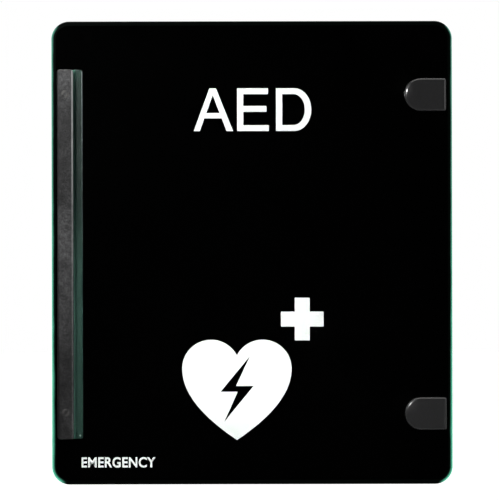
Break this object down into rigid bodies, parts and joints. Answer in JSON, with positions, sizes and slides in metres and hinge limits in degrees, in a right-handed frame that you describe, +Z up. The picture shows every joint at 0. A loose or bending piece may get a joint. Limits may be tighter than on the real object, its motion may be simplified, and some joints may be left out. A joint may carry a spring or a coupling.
{
  "type": "defibrillator wall cabinet",
  "caption": "Sheet steel wall cabinet for an AED, with a hinged black-printed glass door, magnetic catches and a battery door alarm.",
  "frame": {"origin": "centre of the flat back face that lies against the wall", "axes": "+X to the right as seen from the front, +Y into the wall, +Z up; the door faces -Y"},
  "size_m": [0.38, 0.2038, 0.44],
  "materials": {
    "clear_glass": "clear toughened float glass, green at the edges",
    "black_print": "black enamel printed on the back of the glass",
    "white_print": "white enamel printed on the back of the glass",
    "textured_steel": "fine-textured black powder coat",
    "zinc_steel": "bright zinc plate",
    "seal_foam": "black closed-cell foam",
    "mat_rubber": "matt ribbed rubber",
    "nylon": "natural nylon",
    "black_plastic": "moulded, fine texture",
    "magnet": "ground ferrite",
    "alarm_plastic": "moulded ABS, fine texture",
    "circuit_board": "green solder mask",
    "siren_black": "smooth moulded",
    "battery_label": "shrunk plastic sleeve",
    "lamp_red": "clear red lens"
  },
  "bodies": {
    "cabinet": {"cabinet_shell": "textured_steel", "back_panel": "textured_steel", "top_seal": "seal_foam", "bottom_seal": "seal_foam", "side_seal": "seal_foam", "floor_mat": "mat_rubber", "hinge_body_leaf": "textured_steel", "hinge_pin": "zinc_steel", "hinge_rivet_1": "zinc_steel", "hinge_rivet_2": "zinc_steel", "hinge_rivet_3": "zinc_steel", "hinge_rivet_4": "zinc_steel", "hinge_rivet_5": "zinc_steel", "upper_catch_bracket": "textured_steel", "upper_catch_housing": "black_plastic", "upper_catch_magnet": "magnet", "upper_catch_pole_left": "zinc_steel", "upper_catch_pole_right": "zinc_steel", "lower_catch_bracket": "textured_steel", "lower_catch_housing": "black_plastic", "lower_catch_magnet": "magnet", "lower_catch_pole_left": "zinc_steel", "lower_catch_pole_right": "zinc_steel", "alarm_base": "alarm_plastic", "alarm_cover": "alarm_plastic", "alarm_circuit_board": "circuit_board", "alarm_siren": "siren_black", "reed_switch": "clear_glass", "battery_1": "battery_label", "battery_2": "battery_label", "battery_3": "battery_label", "battery_contact_left": "zinc_steel", "battery_contact_right": "zinc_steel", "rocker_housing": "black_plastic", "status_lamp": "lamp_red", "cover_screw_1": "zinc_steel", "cover_screw_2": "zinc_steel"},
    "door": {"door_glass": "clear_glass", "door_back_print": "black_print", "letter_a": "white_print", "letter_e": "white_print", "letter_d": "white_print", "heart_symbol": "white_print", "cross_symbol": "white_print", "hinge_strip": "textured_steel", "hinge_door_leaf": "textured_steel", "upper_stud_bush": "nylon", "lower_stud_bush": "nylon", "upper_grip_plate": "textured_steel", "lower_grip_plate": "textured_steel", "upper_strike_plate": "zinc_steel", "lower_strike_plate": "zinc_steel", "strike_screw_1": "zinc_steel", "strike_screw_2": "zinc_steel", "strike_screw_3": "zinc_steel", "strike_screw_4": "zinc_steel", "door_magnet": "black_plastic"},
    "rocker": {"alarm_rocker": "black_plastic"},
    "battery_lid": {"battery_cover": "alarm_plastic"}
  },
  "joints": [
    {"name": "door_hinge", "type": "hinge", "parent": "cabinet", "child": "door", "pos_m": [-0.1798, -0.1907, 0], "axis": [0, 0, -1], "range_deg": [0, 115]},
    {"name": "rocker_tip", "type": "hinge", "parent": "cabinet", "child": "rocker", "pos_m": [0.002, -0.184, 0.1832], "axis": [0, 0, -1], "range_deg": [0, 16]},
    {"name": "battery_cover_slide", "type": "slide", "parent": "cabinet", "child": "battery_lid", "axis": [1, 0, 0], "range_m": [0, 0.03]}
  ]
}
